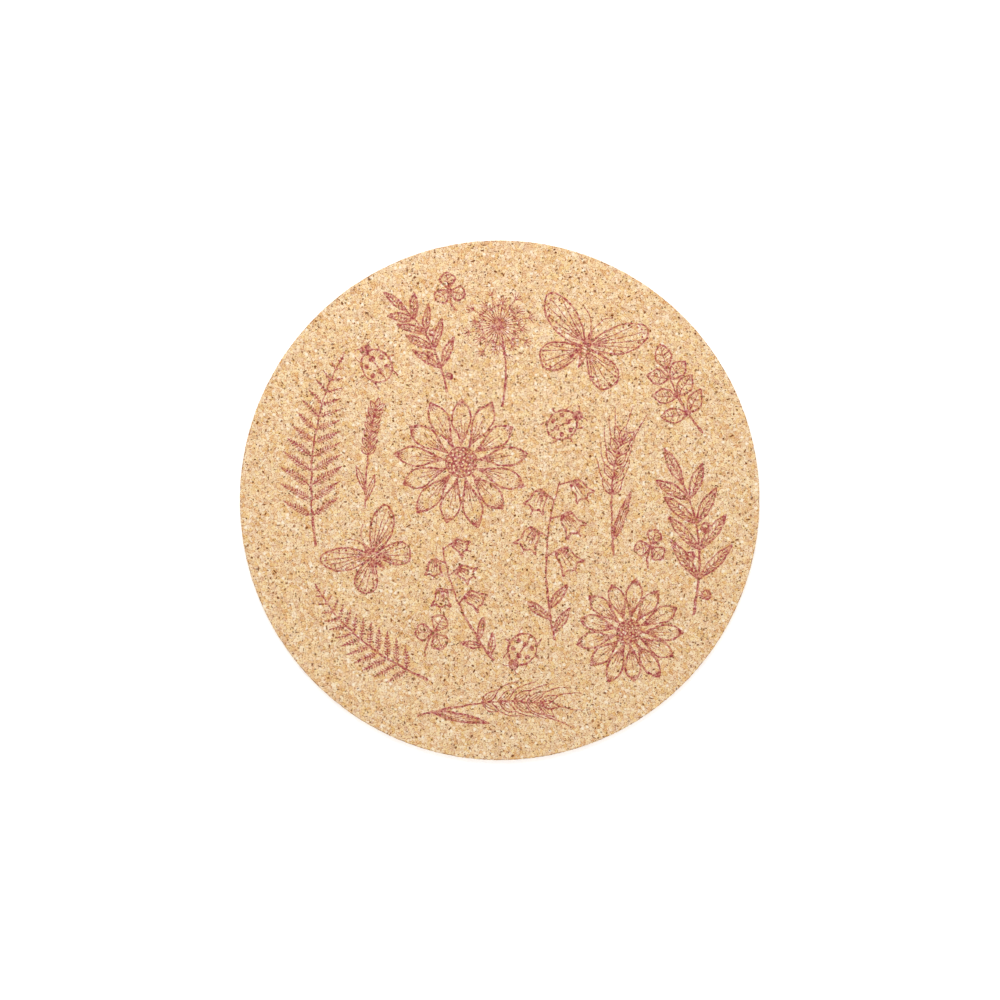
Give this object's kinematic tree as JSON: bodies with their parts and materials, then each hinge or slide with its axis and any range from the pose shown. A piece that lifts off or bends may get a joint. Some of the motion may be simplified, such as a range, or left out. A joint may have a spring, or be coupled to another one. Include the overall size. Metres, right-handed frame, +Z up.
{
  "type": "cork placemat",
  "caption": "Round flat placemat stamped from agglomerated cork, with a one-colour line print of plants and small insects on its top face; it lies under a plate to guard the table.",
  "frame": {"origin": "middle of the underside, on the table", "axes": "+Z up out of the printed face; +X to the right and +Y to the top of the print, as seen from above"},
  "size_m": [0.3, 0.3, 0.0041],
  "materials": {
    "cork": "agglomerated cork sheet, sanded faces and a bare cut rim, matte",
    "ink": "dusty red screen ink, thin and matte, with the cork grain showing through"
  },
  "bodies": {
    "root": {"cork_disc": "cork", "print_rosette_large": "ink", "print_rosette_small": "ink", "print_fern_large": "ink", "print_fern_small": "ink", "print_olive_large": "ink", "print_olive_small": "ink", "print_wheat_large": "ink", "print_wheat_small": "ink", "print_bellflower_large": "ink", "print_bellflower_small": "ink", "print_butterfly_large": "ink", "print_butterfly_small": "ink", "print_seed_puff": "ink", "print_round_leaf_twig": "ink", "print_lavender_sprig": "ink", "print_clover_upper": "ink", "print_clover_middle": "ink", "print_clover_lower": "ink", "print_ladybird_upper": "ink", "print_ladybird_middle": "ink", "print_ladybird_lower": "ink"}
  },
  "joints": []
}
